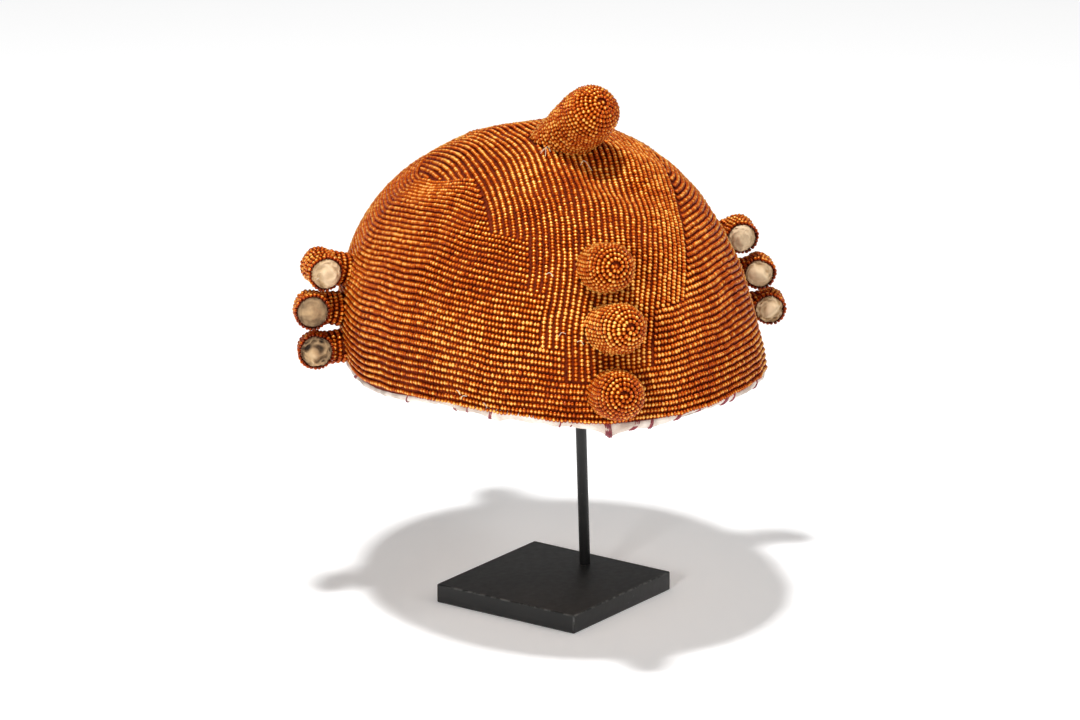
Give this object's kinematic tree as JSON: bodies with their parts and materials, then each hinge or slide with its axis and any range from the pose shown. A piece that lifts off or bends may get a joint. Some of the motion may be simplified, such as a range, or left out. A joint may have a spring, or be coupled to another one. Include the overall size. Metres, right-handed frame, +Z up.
{
  "type": "beaded headdress on display stand",
  "caption": "Domed cap covered in rows of amber glass beads, with blunt padded horns and a crown knob, held on a thin rod and a square black base.",
  "frame": {"origin": "centre of the base plate's underside", "axes": "+Z up, the front of the headdress faces -Y, +X to the viewer's right"},
  "size_m": [0.2219, 0.2473, 0.2331],
  "materials": {
    "amber_glass_beads": "glossy rows of small amber glass beads",
    "white_cotton": "stiffened white cotton with a raw edge",
    "cream_stuffing": "worn cream cotton",
    "crimson_thread": "twisted sewing thread",
    "black_lacquered_steel": "satin black, a little worn at the edges",
    "dark_wood": "plain and matt"
  },
  "bodies": {
    "root": {"beaded_cover": "amber_glass_beads", "cap_lining": "white_cotton", "top_knob": "amber_glass_beads", "front_horn_top": "amber_glass_beads", "front_horn_middle": "amber_glass_beads", "front_horn_bottom": "amber_glass_beads", "back_horn_top": "amber_glass_beads", "back_horn_middle": "amber_glass_beads", "back_horn_bottom": "amber_glass_beads", "left_horn_top": "amber_glass_beads", "left_horn_middle": "amber_glass_beads", "left_horn_bottom": "amber_glass_beads", "right_horn_top": "amber_glass_beads", "right_horn_middle": "amber_glass_beads", "right_horn_bottom": "amber_glass_beads", "left_stuffing_top": "cream_stuffing", "left_stuffing_middle": "cream_stuffing", "left_stuffing_bottom": "cream_stuffing", "right_stuffing_top": "cream_stuffing", "right_stuffing_middle": "cream_stuffing", "right_stuffing_bottom": "cream_stuffing", "stand_base": "black_lacquered_steel", "stand_rod": "black_lacquered_steel", "crown_rest": "dark_wood"}
  },
  "joints": []
}
